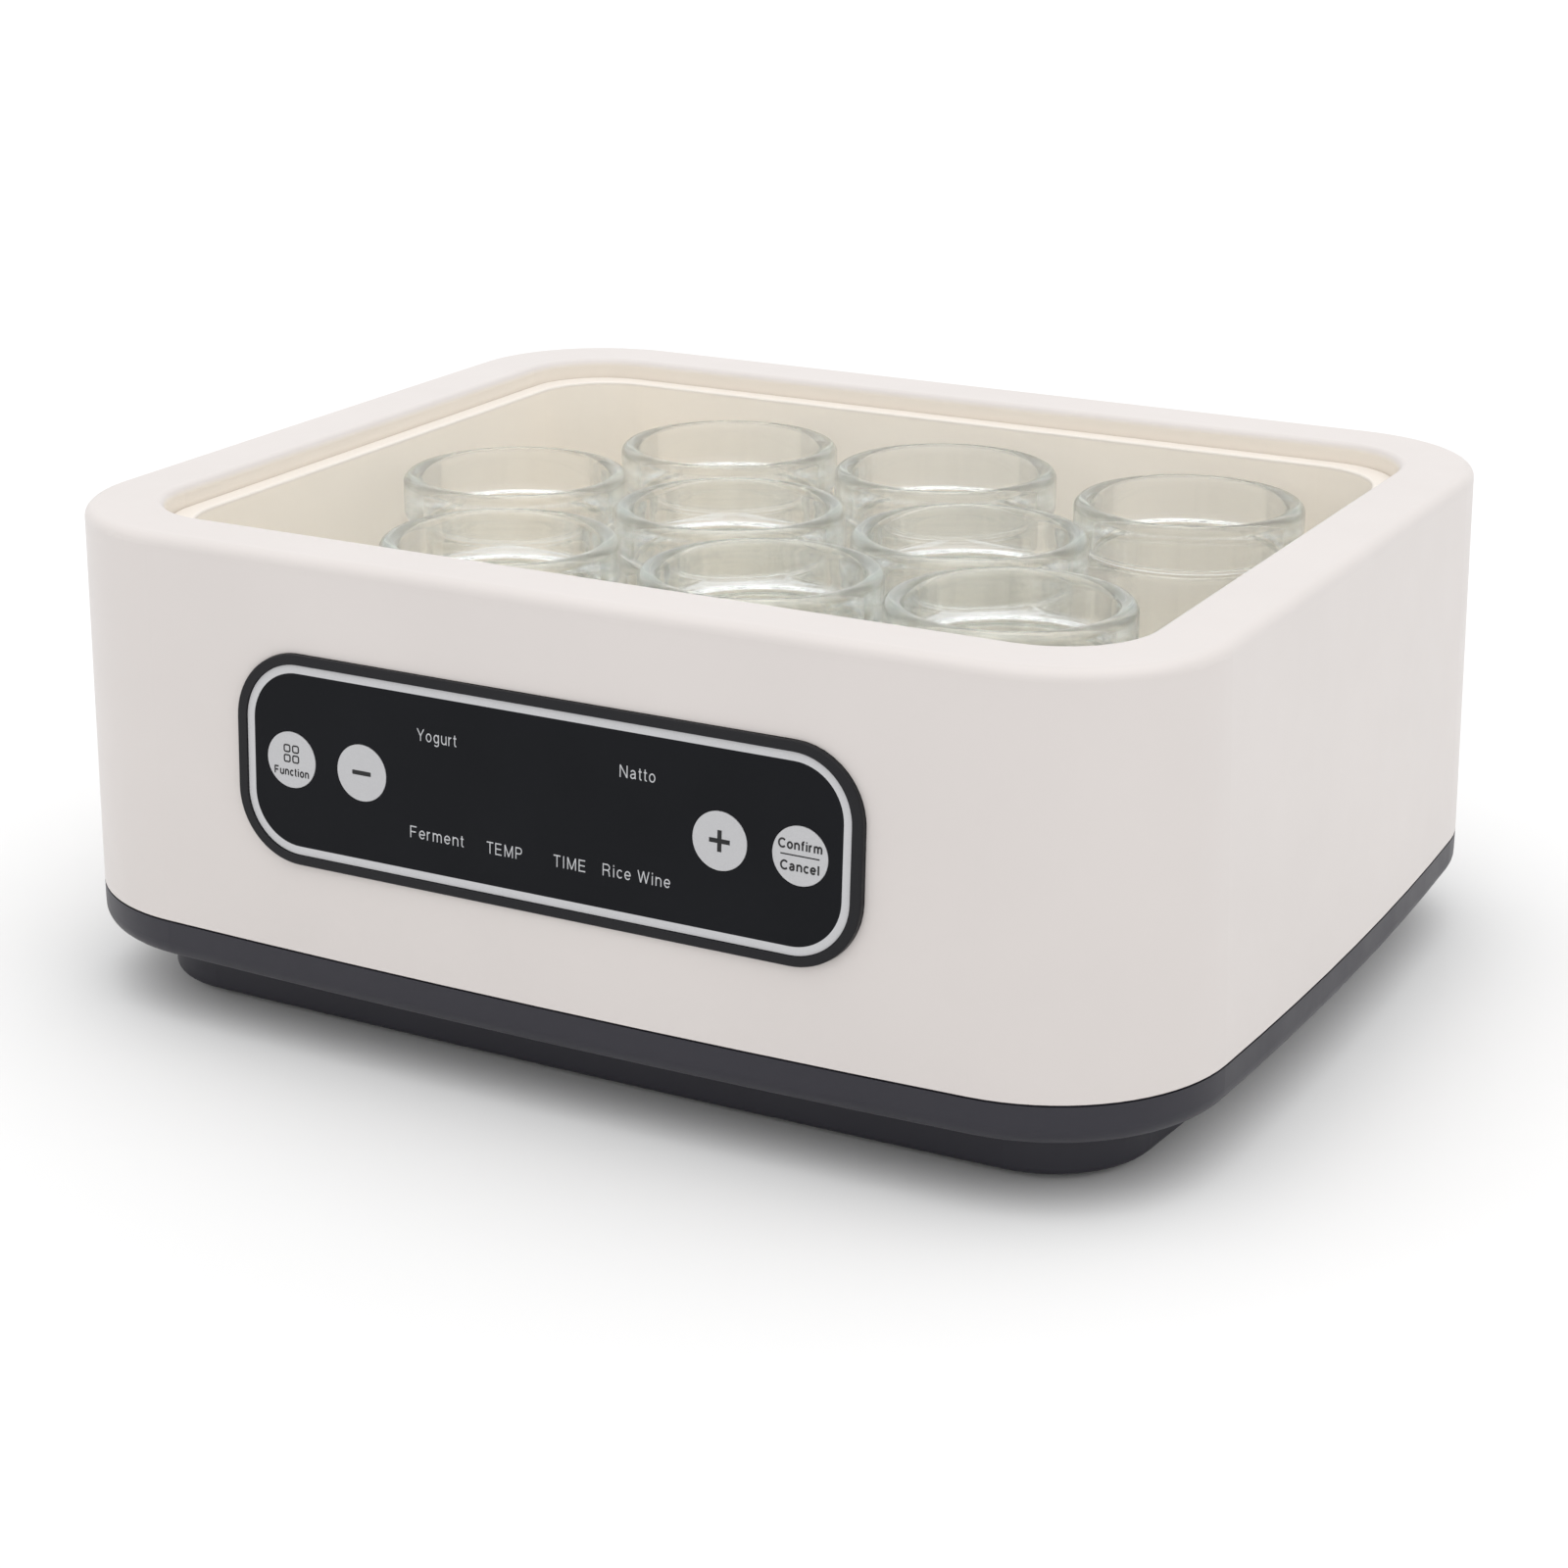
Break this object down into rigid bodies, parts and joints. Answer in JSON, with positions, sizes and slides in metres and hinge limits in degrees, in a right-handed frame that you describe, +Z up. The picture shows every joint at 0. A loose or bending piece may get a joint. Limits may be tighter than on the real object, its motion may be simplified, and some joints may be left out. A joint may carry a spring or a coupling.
{
  "type": "yogurt maker",
  "caption": "Rectangular yogurt maker with a cream housing, dark base and front control panel, its open tub holding loose glass jars.",
  "frame": {"origin": "on the surface it stands on, under the middle of its outline", "axes": "+X to the right along the front, -Y towards the user (the control panel side), +Z up"},
  "size_m": [0.3, 0.248, 0.1216],
  "materials": {
    "cream_shell": "fine satin moulding, warm off-white",
    "cream_tub": "fine satin moulding, warm beige-white",
    "charcoal_base": "fine satin moulding, charcoal",
    "foot_rubber": "matte",
    "bezel_black": "satin, near black",
    "film_black": "glossy black film",
    "key_grey": "light silver-grey film with a dark print",
    "jar_glass": "clear, faint green edge",
    "heater_aluminium": "mill finish",
    "heater_sleeve": "silicone sleeve",
    "insulation_felt": "pressed felt",
    "circuit_board": "green solder mask",
    "component_black": "moulded",
    "connector_white": "moulded",
    "relay_blue": "moulded",
    "capacitor_sleeve": "shrink sleeve",
    "transformer_core": "varnished core and tape",
    "fuse_glass": "clear tube with nickel caps",
    "led_clear": "clear",
    "pipe_clear": "clear",
    "screw_steel": "zinc plated",
    "contact_brass": "tinned",
    "lead_sleeve": "silicone sleeve",
    "ribbon_grey": "flat cable"
  },
  "bodies": {
    "body": {"outer_housing": "cream_shell", "inner_tub": "cream_tub", "base_pan": "charcoal_base", "foot_front_left": "foot_rubber", "foot_front_right": "foot_rubber", "foot_back_left": "foot_rubber", "foot_back_right": "foot_rubber", "base_screws": "screw_steel", "panel_bezel": "bezel_black", "panel_overlay": "film_black", "switch_function": "component_black", "switch_minus": "component_black", "switch_plus": "component_black", "switch_confirm": "component_black", "control_board": "circuit_board", "board_screws": "screw_steel", "display_module": "component_black", "indicator_leds": "led_clear", "light_pipes": "pipe_clear", "controller_chip": "component_black", "board_connector": "connector_white", "heating_plate": "heater_aluminium", "heating_element": "heater_sleeve", "insulation_pad": "insulation_felt", "temperature_sensor": "component_black", "thermal_fuse": "contact_brass", "heater_retainers": "screw_steel", "power_board": "circuit_board", "power_board_screws": "screw_steel", "relay": "relay_blue", "transformer": "transformer_core", "filter_capacitor": "capacitor_sleeve", "mains_fuse": "fuse_glass", "heater_terminal": "connector_white", "mains_terminal": "connector_white", "ribbon_header": "connector_white", "sensor_header": "connector_white", "ribbon_cable": "ribbon_grey", "heater_leads": "lead_sleeve", "sensor_leads": "lead_sleeve", "fuse_leads": "lead_sleeve", "mains_inlet": "component_black", "inlet_pins": "contact_brass", "inlet_leads": "lead_sleeve"},
    "key_function": {"key_function": "key_grey"},
    "key_minus": {"key_minus": "key_grey"},
    "key_plus": {"key_plus": "key_grey"},
    "key_confirm": {"key_confirm": "key_grey"},
    "jar_1": {"jar_1": "jar_glass"},
    "jar_2": {"jar_2": "jar_glass"},
    "jar_3": {"jar_3": "jar_glass"},
    "jar_4": {"jar_4": "jar_glass"},
    "jar_5": {"jar_5": "jar_glass"},
    "jar_6": {"jar_6": "jar_glass"},
    "jar_7": {"jar_7": "jar_glass"},
    "jar_8": {"jar_8": "jar_glass"},
    "jar_9": {"jar_9": "jar_glass"}
  },
  "joints": [
    {"name": "key_function_press", "type": "slide", "parent": "body", "child": "key_function", "axis": [0, 0.999, -0.0457], "range_m": [0, 0.00025], "stiffness_N_per_m": 2000, "springref_m": -0.0003},
    {"name": "key_minus_press", "type": "slide", "parent": "body", "child": "key_minus", "axis": [0, 0.999, -0.0457], "range_m": [0, 0.00025], "stiffness_N_per_m": 2000, "springref_m": -0.0003},
    {"name": "key_plus_press", "type": "slide", "parent": "body", "child": "key_plus", "axis": [0, 0.999, -0.0457], "range_m": [0, 0.00025], "stiffness_N_per_m": 2000, "springref_m": -0.0003},
    {"name": "key_confirm_press", "type": "slide", "parent": "body", "child": "key_confirm", "axis": [0, 0.999, -0.0457], "range_m": [0, 0.00025], "stiffness_N_per_m": 2000, "springref_m": -0.0003},
    {"name": "jar_1_lift", "type": "slide", "parent": "body", "child": "jar_1", "axis": [0, 0, 1], "range_m": [0, 0.1]},
    {"name": "jar_2_lift", "type": "slide", "parent": "body", "child": "jar_2", "axis": [0, 0, 1], "range_m": [0, 0.1]},
    {"name": "jar_3_lift", "type": "slide", "parent": "body", "child": "jar_3", "axis": [0, 0, 1], "range_m": [0, 0.1]},
    {"name": "jar_4_lift", "type": "slide", "parent": "body", "child": "jar_4", "axis": [0, 0, 1], "range_m": [0, 0.1]},
    {"name": "jar_5_lift", "type": "slide", "parent": "body", "child": "jar_5", "axis": [0, 0, 1], "range_m": [0, 0.1]},
    {"name": "jar_6_lift", "type": "slide", "parent": "body", "child": "jar_6", "axis": [0, 0, 1], "range_m": [0, 0.1]},
    {"name": "jar_7_lift", "type": "slide", "parent": "body", "child": "jar_7", "axis": [0, 0, 1], "range_m": [0, 0.1]},
    {"name": "jar_8_lift", "type": "slide", "parent": "body", "child": "jar_8", "axis": [0, 0, 1], "range_m": [0, 0.1]},
    {"name": "jar_9_lift", "type": "slide", "parent": "body", "child": "jar_9", "axis": [0, 0, 1], "range_m": [0, 0.1]}
  ]
}
